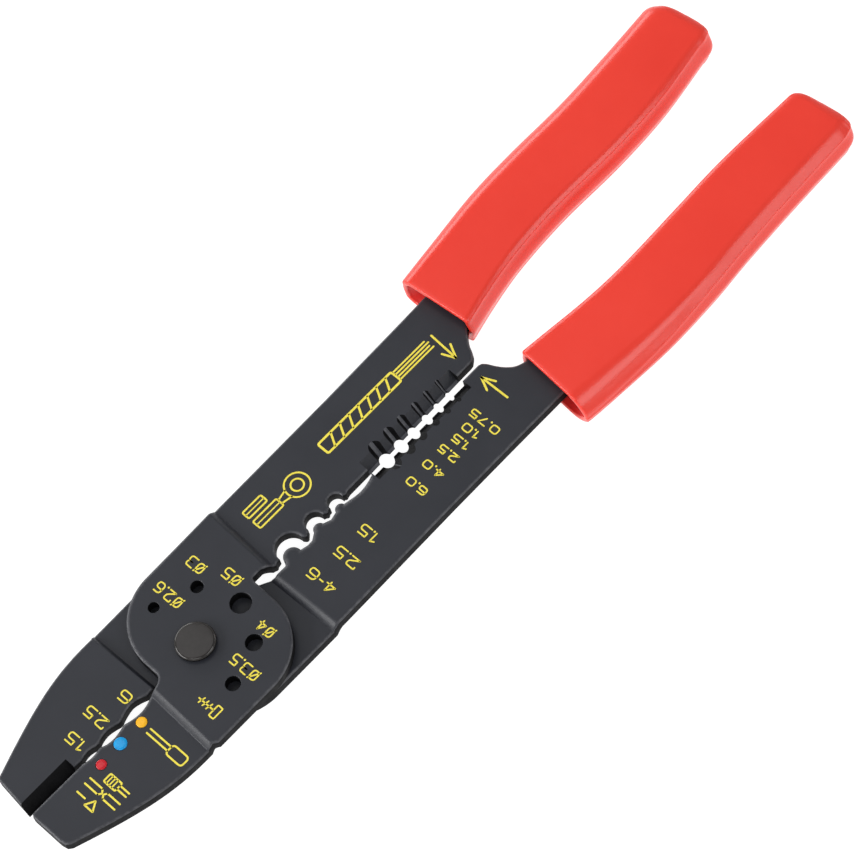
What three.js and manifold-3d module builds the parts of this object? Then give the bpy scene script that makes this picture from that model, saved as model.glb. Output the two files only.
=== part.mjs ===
// Nine-inch wire stripper and crimping pliers: two stamped plates on one rivet, two hollow grips, three enamel dots.
// Millimetres. +Y runs along the tool from the nose to the handles, +X to the right handle, +Z up.
// The origin is on the pivot axis at the bench: the tool lies flat on the rivet's back head and both grips.
import * as THREE from "three";
import { mergeVertices } from "three/addons/utils/BufferGeometryUtils.js";
import Module from "manifold-3d";

// ---------- driving dimensions ----------
const MID = 5.0; // height of the middle of the jaws above the bench
const PLATE = 2.9; // sheet thickness
const FACE_GAP = 0.2; // between the two plates at the pivot
const JOGGLE = (PLATE + FACE_GAP) / 2; // how far each plate's pivot zone is pressed out of line
const RAMP = 0.8; // run of each joggle along the tool
const SETBACK = 0.3; // how far the inside of each joggle stands off its outside
const OPEN_ANGLE = 20.0; // degrees from the modelled pose to where the screw holes line up, fully open
const TAPPED = 0.74; // the back plate's screw holes are tapped: their bore as a share of the screw size

const RIVET = { shank: 3.0, hole: 3.3, frontHead: 4.65, backHead: 5.0, edge: 0.5, frontTop: MID + 4.6, gap: 0.2 };

// Screw-shearing holes in the front plate: screw size M, centre x, y.
const SCREW_HOLES = [
  [5, 0.7, 13.0],
  [4, 9.5, 8.3],
  [3.5, 12.8, -1.4],
  [3, -9.4, 9.5],
  [2.6, -13.2, -0.1],
];

// Stripping notches: y, radius, depth behind the cutting edge.
const STRIP_NOTCHES = [
  [59.0, 1.75, 1.38],
  [63.6, 1.4, 1.24],
  [67.7, 1.2, 0.96],
  [72.0, 0.95, 0.71],
  [75.7, 0.75, 0.59],
  [79.3, 0.6, 0.41],
];
const STRIP = { from: 54.0, to: 83.2, edge: 0.25, ledge: 0.7, ledgeTop: 0.45, width: 2.65, slope: 2.85 / 3.0 };

const CUTTER = { from: -37.0, width: 2.6, edge: 0.2 };
// Enamel size dots on the front nose jaw: name, x, y, radius, colour.
const DOTS = [
  ["yellow_size_dot", 3.35, -20.3, 1.2, 0xf2b21d],
  ["blue_size_dot", 3.4, -26.75, 1.45, 0x1c8fd6],
  ["red_size_dot", 3.7, -32.8, 1.15, 0xc22733],
];
const DOT = { dimple: 0.5, gap: 0.12, proud: 0.18 };

const GRIP = { half: 5.0, side: 1.6, edge: 2.6, wall: 1.5, sideWall: 1.0, pocket: 11, slotEnd: 170, slack: 0.3 };
const ARM_END = 166;
const ARM_INSET = { inner: 1.75, outer: 6.6 }; // from the grip's sides to the steel inside it

// ---------- manifold booleans on three.js geometry ----------
const wasm = await Module();
wasm.setup();

function toSolid(geometry) {
  const plain = geometry.clone();
  plain.deleteAttribute("normal");
  plain.deleteAttribute("uv");
  const merged = mergeVertices(plain, 1e-4);
  return new wasm.Manifold(
    new wasm.Mesh({
      numProp: 3,
      vertProperties: new Float32Array(merged.attributes.position.array),
      triVerts: new Uint32Array(merged.index.array),
    }),
  );
}

function toGeometry(solid) {
  const mesh = solid.getMesh();
  const geometry = new THREE.BufferGeometry();
  geometry.setAttribute("position", new THREE.BufferAttribute(new Float32Array(mesh.vertProperties), 3));
  geometry.setIndex(new THREE.BufferAttribute(new Uint32Array(mesh.triVerts), 1));
  geometry.computeVertexNormals();
  return geometry;
}

const cutAll = (solid, tools) => tools.reduce((rest, tool) => rest.subtract(tool), solid);

// ---------- small shapes ----------
const radians = (degrees) => THREE.MathUtils.degToRad(degrees);
const v2 = (x, y) => new THREE.Vector2(x, y);

// A flat outline pushed straight up from z0 to z1.
function prism(shape, z0, z1, curveSegments = 10) {
  const geometry = new THREE.ExtrudeGeometry(shape, { depth: z1 - z0, bevelEnabled: false, curveSegments });
  geometry.translate(0, 0, z0);
  return toSolid(geometry);
}

function cylinder(x, y, radius, z0, z1, segments = 40) {
  const geometry = new THREE.CylinderGeometry(radius, radius, z1 - z0, segments);
  geometry.rotateX(Math.PI / 2);
  geometry.translate(x, y, (z0 + z1) / 2);
  return toSolid(geometry);
}

// A section drawn in the X-Z plane and pushed along +Y from y0 to y1.
function alongY(points, y0, y1) {
  const shape = new THREE.Shape(points.map(([x, z]) => v2(x, -z)));
  const geometry = new THREE.ExtrudeGeometry(shape, { depth: y1 - y0, bevelEnabled: false });
  geometry.rotateX(-Math.PI / 2);
  geometry.translate(0, y0, 0);
  return geometry;
}

// ---------- the stamped plates ----------
// The joggled sheet, before its outline is blanked: `side` is +1 when the pivot zone is pressed up, -1 when down.
// `creases` are the y of the nose crease and the handle crease at the tool's axis, and their slant in degrees.
function joggledSheet(side, creases) {
  const up = side * JOGGLE;
  const section = (offset, shift) => [
    [-70, offset],
    [creases.nose - RAMP / 2 + shift, offset],
    [creases.nose + RAMP / 2 + shift, offset + up],
    [creases.handle - RAMP / 2 - shift, offset + up],
    [creases.handle + RAMP / 2 - shift, offset],
    [200, offset],
  ];
  const top = section(PLATE / 2, -side * SETBACK);
  const bottom = section(-PLATE / 2, side * SETBACK);
  const outline = [...bottom, ...top.reverse()].map(([y, z]) => v2(y, z + MID));
  const geometry = new THREE.ExtrudeGeometry(new THREE.Shape(outline), { depth: 120, bevelEnabled: false });
  geometry.rotateX(Math.PI / 2);
  geometry.rotateZ(Math.PI / 2);
  geometry.translate(-60, 0, 0);
  geometry.rotateZ(radians(creases.slant));
  return toSolid(geometry);
}

// A sideways-smooth line through a few points, sampled evenly.
function smooth(points, steps = 14) {
  return new THREE.SplineCurve(points.map(([x, y]) => v2(x, y))).getPoints(steps);
}

function arc(x, y, radius, fromDegrees, toDegrees, steps = 10) {
  const points = [];
  for (let i = 0; i <= steps; i += 1) {
    const a = radians(fromDegrees + ((toDegrees - fromDegrees) * i) / steps);
    points.push(v2(x + radius * Math.cos(a), y + radius * Math.sin(a)));
  }
  return points;
}

const points = (...list) => list.map(([x, y]) => v2(x, y));
const mirrored = (list) => list.map((p) => v2(-p.x, p.y));

// Outer edge of a nose jaw, from the pivot down to the tip, for the right-hand jaw.
function noseOutside(fuller) {
  const curve = new THREE.CubicBezierCurve(v2(19.2, -14), v2(19.4, -25), v2(17.6 + fuller, -32), v2(11.1 + fuller, -49.6));
  return curve.getPoints(14);
}

// The pivot zone's nose-side corner on the left, from the nose notch round to the straight left edge.
const pivotLowerCorner = () => arc(-5.1, 4.0, 14.6, 270, 180, 12);
// The pivot zone's handle-side corner on the right, from the straight right edge round to the top.
const pivotUpperCorner = () => arc(5.2, 3.6, 14.8, 0, 90, 12);

// Grip sides, from the mouth to the tip, and the ends that join them.
const RIGHT_GRIP = {
  inner: [[5.7, 95.8], [6.4, 102], [7.85, 115], [8.3, 127], [7.7, 145], [7.3, 160], [7.9, 181.5]],
  outer: [[27.3, 94.0], [28.1, 103], [29.0, 119], [28.4, 135], [27.4, 147], [26.5, 163], [25.9, 180]],
  tip: 185.2,
  tipRound: [5.6, 4.4],
};
const LEFT_GRIP = {
  inner: [[-6.8, 93.4], [-8.8, 102], [-10.6, 113], [-11.6, 128], [-11.4, 147], [-12.35, 163], [-14.9, 178.5]],
  outer: [[-27.3, 91.7], [-28.9, 103.5], [-30.8, 118], [-31.3, 131], [-31.25, 148], [-32.1, 163], [-33.3, 178]],
  tip: 183.2,
  tipRound: [4.6, 6.6],
};

// x of a grip side at height y, from its smooth line.
function sideX(line, y) {
  const fine = smooth(line, 80);
  const i = Math.max(1, fine.findIndex((p) => p.y >= y));
  const a = fine[i - 1];
  const b = fine[i === 0 ? 1 : i];
  return a.x + ((b.x - a.x) * (y - a.y)) / (b.y - a.y);
}

// The steel arm inside a grip, as two lines of points from the mouth to the arm's end.
function armSides(grip, away, from, to, slack = 0) {
  const ys = [];
  for (let y = from; y < to; y += 9) ys.push(y);
  ys.push(to);
  return {
    inner: ys.map((y) => v2(sideX(grip.inner, y) + away * (ARM_INSET.inner - slack), y)),
    outer: ys.map((y) => v2(sideX(grip.outer, y) - away * (ARM_INSET.outer - slack), y)),
  };
}

// Outline of the front plate: right nose jaw, pivot zone, left arm. Counter-clockwise.
function frontOutline() {
  const arm = armSides(LEFT_GRIP, -1, 103, ARM_END);
  return [
    // nose jaw: its tip, then up its outer edge
    ...points([0.3, -50.0], [1.1, -50.8], [9.3, -50.8], [10.9, -50.5]),
    ...noseOutside(0.55).reverse(),
    ...points([20.0, -12.9]),
    // pivot zone: right edge, upper corner, and across the top to the relief slot
    ...pivotUpperCorner(),
    ...points([-1.2, 18.6], [-1.65, 19.0], [-1.65, 21.4], [-1.2, 22.3]),
    // non-insulated crimping notches, with a rounded lip between them
    ...arc(-1.05, 24.65, 0.6, -45, 60, 4),
    ...arc(-1.1, 29.7, 3.45, 272, 88, 16),
    ...arc(-0.85, 34.0, 0.65, -60, 60, 4),
    ...arc(-1.35, 37.6, 2.3, 274, 86, 14),
    ...arc(-1.3, 40.95, 0.6, -60, 60, 4),
    ...arc(-1.25, 44.0, 1.85, 275, 80, 12),
    ...arc(-1.25, 46.7, 0.55, -60, 40, 4),
    // stripping edge, stop flat, and the curve into the grip
    ...points([-1.0, 47.8], [-1.05, 54.0], [-1.78, 83.2], [-1.82, 87.2]),
    ...smooth([[-1.95, 88.0], [-3.2, 89.55], [-5.0, 90.5], [-6.8, 91.7], [-8.1, 92.9], [-9.0, 94.2], [-10.3, 97.0]], 14),
    ...arm.inner,
    ...points([-17.6, ARM_END + 2.2], [-23.6, ARM_END + 2.2]),
    ...arm.outer.reverse(),
    // outer edge back to the pivot zone, and its lower corner
    ...points([-21.4, 96], [-21.1, 86], [-20.5, 60], [-20.1, 26], [-19.9, 18]),
    ...pivotLowerCorner().reverse(),
    // the shoulder down to the nose jaw, then the insulated crimping notches
    ...smooth([[-1.7, -10.65], [-0.8, -10.9], [-0.2, -11.5], [0.3, -12.5], [0.5, -13.5], [0.45, -14.4]], 8),
    ...smooth([[0.6, -15.2], [1.2, -17.0], [1.45, -19.0], [1.2, -21.2], [0.7, -23.0]], 8),
    ...smooth([[0.75, -23.6], [1.1, -25.2], [1.3, -26.9], [1.1, -28.7], [0.5, -30.2]], 8),
    ...smooth([[0.5, -30.8], [0.7, -31.7], [0.8, -32.8], [0.7, -33.9], [0.35, -35.2]], 6),
  ];
}

// Outline of the back plate: left nose jaw, pivot zone, right arm. Counter-clockwise.
function backOutline() {
  const arm = armSides(RIGHT_GRIP, 1, 104, ARM_END);
  return [
    // insulated crimping notches, from the cutter up to the shoulder
    ...points([-0.66, -50.9], [-0.45, CUTTER.from], [-0.35, -35.4]),
    ...smooth([[-0.35, -34.9], [-0.65, -33.9], [-0.8, -32.8], [-0.65, -31.6], [-0.3, -30.6]], 6),
    ...smooth([[-0.3, -29.8], [-0.8, -28.6], [-1.05, -26.9], [-0.8, -25.2], [-0.35, -23.7]], 8),
    ...smooth([[-0.35, -23.0], [-0.95, -21.4], [-1.45, -19.0], [-1.05, -17.0], [-0.3, -15.2]], 8),
    ...smooth([[-0.35, -14.4], [-0.3, -13.2], [-0.3, -12.2], [0.2, -11.2], [1.0, -10.75], [1.9, -10.65]], 8),
    ...mirrored(pivotLowerCorner()),
    // right outer edge up to the arm's end inside the grip
    ...points([19.7, 18], [19.7, 26], [19.2, 60], [19.1, 80], [19.1, 97]),
    ...arm.outer,
    ...points([17.6, ARM_END + 2.2], [12.2, ARM_END + 2.2]),
    ...arm.inner.reverse(),
    // the curve out of the grip, the stop flat and the stripping edge
    ...smooth([[7.8, 98.4], [7.35, 96.2], [6.4, 93.5], [4.8, 91.8], [2.9, 90.6], [1.1, 89.75], [0.1, 89.0]], 14),
    ...points([-0.2, 88.2], [-0.2, 83.2], [-0.1, 54.0], [0.45, 53.6]),
    // convex crimping bumps
    ...smooth([[0.5, 53.2], [1.0, 51.2], [1.2, 49.4], [1.1, 47.9]], 6),
    ...arc(0.85, 43.55, 1.35, 105, 255, 12),
    ...points([0.95, 40.3]),
    ...arc(0.65, 37.1, 1.5, 105, 255, 12),
    ...points([1.3, 34.0], [1.35, 32.6]),
    ...arc(0.7, 28.65, 2.2, 85, 265, 14),
    ...points([1.1, 25.9], [1.1, 22.6], [0.1, 20.9], [-0.9, 19.1], [-1.3, 18.5]),
    // pivot zone's upper corner, left edge and the outer edge of the nose jaw
    ...mirrored(pivotUpperCorner()).reverse(),
    ...points([-19.8, -12.9]),
    ...mirrored(noseOutside(0.1)),
    ...points([-10.5, -49.9]),
  ];
}

// Bevel and inclined round notches of one stripping blade, cut from the front face.
// `away` is the direction from the cutting edge into the blade: +1 right arm, -1 left arm.
function stripTools(away, edgeAtY, slant) {
  const back = MID - PLATE / 2;
  const front = MID + PLATE / 2;
  const edge = edgeAtY(STRIP.from);
  const section = [
    [-4 * away, back + STRIP.edge],
    [0, back + STRIP.edge],
    [STRIP.ledge * away, back + STRIP.ledgeTop],
    [STRIP.width * away, front],
    [STRIP.width * away, front + 3],
    [-4 * away, front + 3],
  ];
  const bevel = alongY(away > 0 ? section : section.reverse(), 0, STRIP.to - STRIP.from);
  bevel.rotateZ(radians(slant));
  bevel.translate(edge, STRIP.from, 0);
  const tools = [toSolid(bevel)];
  const lean = Math.atan(STRIP.slope);
  for (const [y, radius, depth] of STRIP_NOTCHES) {
    const notch = new THREE.CylinderGeometry(radius, radius, 16, 28);
    notch.rotateX(Math.PI / 2);
    notch.rotateY(away * lean);
    notch.translate(edgeAtY(y) + away * (depth - radius / Math.cos(lean)), y, back);
    tools.push(toSolid(notch));
  }
  return tools;
}

function turned([x, y], degrees) {
  return v2(x, y).rotateAround(v2(0, 0), radians(degrees));
}

function screwHoles(z0, z1, angle, share) {
  return SCREW_HOLES.map(([size, x, y]) => {
    const at = turned([x, y], angle);
    return cylinder(at.x, at.y, (size / 2) * share, z0, z1, 28);
  });
}

function dotDimples() {
  const face = MID + PLATE / 2;
  return DOTS.map(([, x, y, radius]) => cylinder(x, y, radius + DOT.gap, face - DOT.dimple, face + 1, 28));
}

function frontPlateSolid() {
  const blank = prism(new THREE.Shape(frontOutline()), -5, 15);
  const sheet = joggledSheet(1, { nose: -13.9, handle: 23.3, slant: -2.6 });
  const edgeAtY = (y) => -1.05 - ((y - 54.0) * 0.73) / 29.2;
  return cutAll(blank.intersect(sheet), [
    cylinder(0, 0, RIVET.hole, -5, 15),
    ...screwHoles(-5, 15, 0, 1),
    ...dotDimples(),
    ...stripTools(-1, edgeAtY, 1.5),
  ]);
}

function backPlateSolid() {
  const blank = prism(new THREE.Shape(backOutline()), -5, 15);
  const sheet = joggledSheet(-1, { nose: -13.1, handle: 22.4, slant: 1.1 });
  const edgeAtY = () => -0.1;
  const front = MID + PLATE / 2;
  const back = MID - PLATE / 2;
  // The knife edge of the cutter, ground from the front face.
  const knife = alongY(
    [
      [0.6, back + CUTTER.edge],
      [0.6, front + 1],
      [-CUTTER.width, front + 1],
      [-CUTTER.width, front],
      [0, back + CUTTER.edge],
    ],
    -56,
    CUTTER.from,
  );
  knife.translate(-0.5, 0, 0);
  return cutAll(blank.intersect(sheet), [
    cylinder(0, 0, RIVET.hole, -5, 15),
    ...screwHoles(-5, 15, OPEN_ANGLE, TAPPED),
    ...stripTools(1, edgeAtY, 0),
    toSolid(knife),
  ]);
}

// ---------- rivet ----------
function rivetGeometry() {
  const top = MID + JOGGLE + PLATE / 2 + RIVET.gap;
  const bottom = MID - JOGGLE - PLATE / 2 - RIVET.gap;
  const rounded = (radius, z, turn) =>
    arc(radius - RIVET.edge, z - turn * RIVET.edge, RIVET.edge, 0, turn * 90, 4);
  const profile = [
    v2(0, 0),
    ...rounded(RIVET.backHead, 0, -1).reverse(),
    v2(RIVET.backHead, bottom),
    v2(RIVET.shank, bottom),
    v2(RIVET.shank, top),
    v2(RIVET.frontHead, top),
    ...rounded(RIVET.frontHead, RIVET.frontTop, 1),
    v2(0, RIVET.frontTop),
  ];
  const geometry = new THREE.LatheGeometry(profile, 48);
  geometry.rotateX(Math.PI / 2);
  return geometry;
}

// ---------- enamel dots ----------
function dotGeometry([, x, y, radius]) {
  const face = MID + PLATE / 2;
  const floor = face - DOT.dimple + DOT.gap;
  const dome = [0, 0.35, 0.7, 1].map((t) => v2(radius * (1 - t * t * 0.0) * Math.cos((t * Math.PI) / 2),
    face + DOT.proud * Math.sin((t * Math.PI) / 2)));
  dome[3].x = 0;
  const geometry = new THREE.LatheGeometry([v2(0, floor), v2(radius, floor), ...dome], 28);
  geometry.rotateX(Math.PI / 2);
  geometry.translate(x, y, 0);
  return geometry;
}

// ---------- grips ----------
// One side of a grip moved over by `shift`, starting `lift` above its mouth.
function gripSide(line, shift, lift, steps = 18) {
  const from = line[0][1] + lift;
  const to = line.at(-1)[1];
  return Array.from({ length: steps + 1 }, (_, i) => {
    const y = from + ((to - from) * i) / steps;
    return v2(sideX(line, y) + shift, y);
  });
}

// A grip's outline, drawn `inset` inside the outer one, from its mouth (moved in by `lift`) to the tip.
function gripOutline(grip, away, inset, lift) {
  const inner = gripSide(grip.inner, away * inset, lift);
  const outer = gripSide(grip.outer, -away * inset, lift);
  const [innerRound, outerRound] = grip.tipRound;
  const tip = grip.tip - inset;
  const innerEnd = inner.at(-1);
  const outerEnd = outer.at(-1);
  const corner = (end, radius, sign) => {
    const curve = new THREE.QuadraticBezierCurve(end, v2(end.x, tip), v2(end.x + sign * radius, tip));
    return curve.getPoints(6).slice(1);
  };
  const outline = [
    ...outer,
    ...corner(outerEnd, outerRound, -away),
    ...corner(innerEnd, innerRound, away).reverse(),
    ...inner.reverse(),
  ];
  return away > 0 ? outline : outline.reverse();
}

function gripSolid(grip, away) {
  const body = new THREE.ExtrudeGeometry(new THREE.Shape(gripOutline(grip, away, GRIP.side, GRIP.side)), {
    depth: 2 * (GRIP.half - GRIP.edge),
    bevelThickness: GRIP.edge,
    bevelSize: GRIP.side,
    bevelSegments: 5,
  });
  body.translate(0, 0, MID - GRIP.half + GRIP.edge);
  // the open pocket behind the mouth, then the slot that hugs the steel arm
  const mouth = Math.min(grip.inner[0][1], grip.outer[0][1]);
  const hollow = GRIP.half - GRIP.wall;
  const pocketEnd = mouth + GRIP.pocket;
  const cavity = prism(new THREE.Shape(gripOutline(grip, away, GRIP.sideWall, -4)), MID - hollow, MID + hollow);
  const keep = prism(new THREE.Shape(points([-60, 70], [60, 70], [60, pocketEnd], [-60, pocketEnd])), -1, 12);
  const sides = armSides(grip, away, pocketEnd - 2, GRIP.slotEnd, GRIP.slack);
  const slotLine = [...sides.outer, ...sides.inner.reverse()];
  const slotHalf = PLATE / 2 + GRIP.slack;
  const slot = prism(new THREE.Shape(away > 0 ? slotLine : slotLine.reverse()), MID - slotHalf, MID + slotHalf);
  return cutAll(toSolid(body), [cavity.intersect(keep), slot]);
}

// ---------- assembly ----------
function piece(name, geometry, color, roughness, metalness) {
  const material = new THREE.MeshStandardMaterial({ color, roughness, metalness });
  const mesh = new THREE.Mesh(geometry, material);
  mesh.name = name;
  return mesh;
}

const STEEL = [0x3b3d42, 0.42, 0.55];
const group = new THREE.Group();
group.name = "wire_stripper";
group.add(piece("front_plate", toGeometry(frontPlateSolid()), ...STEEL));
group.add(piece("back_plate", toGeometry(backPlateSolid()), ...STEEL));
group.add(piece("pivot_rivet", rivetGeometry(), 0x3f3a38, 0.35, 0.7));
group.add(piece("left_grip_sleeve", toGeometry(gripSolid(LEFT_GRIP, -1)), 0xe8402c, 0.3, 0));
group.add(piece("right_grip_sleeve", toGeometry(gripSolid(RIGHT_GRIP, 1)), 0xe8402c, 0.3, 0));
for (const dot of DOTS) group.add(piece(dot[0], dotGeometry(dot), dot[4], 0.35, 0));

export default group;
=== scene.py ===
"""Looks of a nine-inch wire stripper and crimping tool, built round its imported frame.

Lengths are millimetres until a mesh is made; MM turns them into metres.
+Y runs from the nose to the handles, +X to the right handle, +Z up, and the origin is on the pivot axis.
"""
import math

import bmesh
import bpy
from mathutils import Matrix, Vector, geometry, noise


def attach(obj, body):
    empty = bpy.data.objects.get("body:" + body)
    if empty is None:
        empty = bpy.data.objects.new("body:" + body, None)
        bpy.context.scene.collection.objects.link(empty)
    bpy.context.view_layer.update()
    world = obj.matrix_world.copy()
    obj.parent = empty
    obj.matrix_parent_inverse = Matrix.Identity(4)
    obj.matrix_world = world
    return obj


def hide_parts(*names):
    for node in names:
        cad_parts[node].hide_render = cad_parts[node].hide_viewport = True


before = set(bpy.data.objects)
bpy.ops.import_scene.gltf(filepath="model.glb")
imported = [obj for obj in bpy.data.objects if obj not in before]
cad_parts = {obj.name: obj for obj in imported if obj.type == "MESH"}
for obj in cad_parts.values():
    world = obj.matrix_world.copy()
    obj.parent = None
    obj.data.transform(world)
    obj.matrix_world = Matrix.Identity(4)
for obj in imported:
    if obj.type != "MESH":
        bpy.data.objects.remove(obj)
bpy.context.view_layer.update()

MM = 0.001

# ---------- driving dimensions, the same as the frame's ----------
MID = 5.0  # mid plane of the jaws and arms above the bench
PLATE = 2.9  # thickness of the sheet
JOGGLE = 1.55  # how far each plate's pivot zone is pressed out of the mid plane
SETBACK = 0.3  # how far a bend on one face of the sheet lies from the same bend at mid thickness
OPEN_ANGLE = 20.0  # where the screw holes of the two plates line up
TAPPED = 0.74  # the back plate's threaded bores, as a share of the screw's size
FACE = MID + PLATE / 2
BACK_FACE = MID - PLATE / 2
PIVOT_FACE = FACE + JOGGLE
PIVOT_BORE = 3.3

# screw size, x, y
SCREW_HOLES = [(5, 0.7, 13.0), (4, 9.5, 8.3), (3.5, 12.8, -1.4), (3, -9.4, 9.5), (2.6, -13.2, -0.1)]
# y, radius, depth
STRIP_NOTCHES = [
    (59.0, 1.75, 1.38),
    (63.6, 1.4, 1.24),
    (67.7, 1.2, 0.96),
    (72.0, 0.95, 0.71),
    (75.7, 0.75, 0.59),
    (79.3, 0.6, 0.41),
]
STRIP_FROM, STRIP_TO = 54.0, 83.2
CUTTER_FROM = -37.0
# name, x, y, radius
DOTS = [
    ("yellow_size_dot", 3.35, -20.3, 1.2),
    ("blue_size_dot", 3.4, -26.75, 1.45),
    ("red_size_dot", 3.7, -32.8, 1.15),
]
# A grip's two sides in plan, its tip and the two radii there, then the profiles of its sides: at the mouth, and
# past the first `settle` millimetres. `funnel` is how deep the pocket narrows to the steel.
RIGHT_GRIP = {
    "inner": [(5.7, 95.8), (6.4, 102), (7.85, 115), (8.3, 127), (7.7, 145), (7.3, 160), (7.9, 181.5)],
    "outer": [(27.3, 94.0), (28.1, 103), (29.0, 119), (28.4, 135), (27.4, 147), (26.5, 163), (25.9, 180)],
    "tip": 185.2,
    "round": (6.5, 4.6),
    "mouth_inner": {"width": 1.8, "slope": 28, "radius": 0.6, "bulge": 0.5, "soft": 1.0},
    "mouth_outer": {"width": 5.6, "slope": 58, "radius": 1.8, "bulge": 0.2, "soft": 1.0},
    "body_inner": {"width": 2.0, "slope": 30, "radius": 0.5, "bulge": 0.4, "soft": 1.0},
    "body_outer": {"width": 3.4, "slope": 32, "radius": 0.45, "bulge": 0.9, "soft": 0.6},
    "settle": 34.0,
    "funnel": 7.0,
}
LEFT_GRIP = {
    "inner": [
        (-6.8, 93.4), (-8.8, 102), (-10.6, 113), (-11.6, 128), (-11.4, 147), (-12.35, 163), (-14.9, 178.5),
    ],
    "outer": [
        (-27.3, 91.7), (-28.9, 103.5), (-30.8, 118), (-31.3, 131), (-31.25, 148), (-32.1, 163), (-33.3, 178),
    ],
    "tip": 183.2,
    "round": (4.8, 8.0),
    "mouth_inner": {"width": 1.3, "slope": 32, "radius": 0.5, "bulge": 0.8, "soft": 1.0},
    "mouth_outer": {"width": 3.0, "slope": 50, "radius": 1.2, "bulge": 0.2, "soft": 1.0},
    "body_inner": {"width": 1.8, "slope": 32, "radius": 0.45, "bulge": 1.2, "soft": 0.8},
    "body_outer": {"width": 4.2, "slope": 50, "radius": 1.2, "bulge": 0.1, "soft": 1.0},
    "settle": 22.0,
    "funnel": 6.0,
}
GRIP_HALF = 5.0  # half a grip's thickness
GRIP_WALL = 1.35
ARM_END = 166
ARM_INSET = (1.75, 6.6)  # how far the steel lies inside a grip's inner side, and inside its outer side


# ---------- plane curves ----------
def vec(points):
    """Plane vectors from pairs of numbers."""
    return [Vector((x, y)) for x, y in points]


def smooth(points, steps=20):
    """A Catmull-Rom line through a few points."""
    p = vec(points)
    line = []
    for k in range(steps + 1):
        at = (len(p) - 1) * k / steps
        i = min(int(at), len(p) - 2)
        t = at - i
        a, b, c, d = p[max(i - 1, 0)], p[i], p[i + 1], p[min(i + 2, len(p) - 1)]
        v0, v1 = (c - a) / 2, (d - b) / 2
        line.append((2 * b - 2 * c + v0 + v1) * t**3 + (3 * c - 3 * b - 2 * v0 - v1) * t**2 + v0 * t + b)
    return line


def arc(x, y, radius, start, end, steps=24):
    angles = [math.radians(start + (end - start) * i / steps) for i in range(steps + 1)]
    return [Vector((x + radius * math.cos(a), y + radius * math.sin(a))) for a in angles]


def bezier(a, b, c, d, steps=28):
    a, b, c, d = vec([a, b, c, d])
    ts = [i / steps for i in range(steps + 1)]
    return [a * (1 - t) ** 3 + b * 3 * t * (1 - t) ** 2 + c * 3 * t * t * (1 - t) + d * t**3 for t in ts]


def mirrored(line):
    return [Vector((-p.x, p.y)) for p in line]


def side_x(line, y):
    """x of a grip's side at y."""
    fine = smooth(line, 80)
    i = next((k for k, p in enumerate(fine) if p.y >= y), len(fine) - 1)
    i = max(i, 1)
    a, b = fine[i - 1], fine[i]
    return a.x + (b.x - a.x) * (y - a.y) / (b.y - a.y)


def arm_sides(grip, away, start, end, slack=0.0):
    """The steel inside a grip: its two sides, from start to end."""
    ys = [start + 9 * k for k in range(int((end - start) / 9) + 1)]
    if ys[-1] < end - 0.01:
        ys.append(end)
    inner = [Vector((side_x(grip["inner"], y) + away * (ARM_INSET[0] - slack), y)) for y in ys]
    outer = [Vector((side_x(grip["outer"], y) - away * (ARM_INSET[1] - slack), y)) for y in ys]
    return inner, outer


def inset(line, amounts):
    """A closed counter-clockwise line moved inwards, each point by its own amount."""
    moved = []
    for i, p in enumerate(line):
        before = (p - line[i - 1]).normalized()
        after = (line[(i + 1) % len(line)] - p).normalized()
        n0, n1 = Vector((-before.y, before.x)), Vector((-after.y, after.x))
        n = (n0 + n1).normalized()
        moved.append(p + n * amounts[i] / max(n.dot(n0), 0.6))
    return moved


# ---------- outlines of the two plates ----------
def nose_outside(fuller):
    """The right nose jaw's outer edge, from the pivot to the tip; `fuller` widens its lower half."""
    return bezier((19.2, -14), (19.4, -25), (17.6 + fuller, -32), (11.1 + fuller, -49.6))


def pivot_lower_corner():
    return arc(-5.1, 4.0, 14.6, 270, 180, 30)


def pivot_upper_corner():
    return arc(5.2, 3.6, 14.8, 0, 90, 30)


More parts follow.
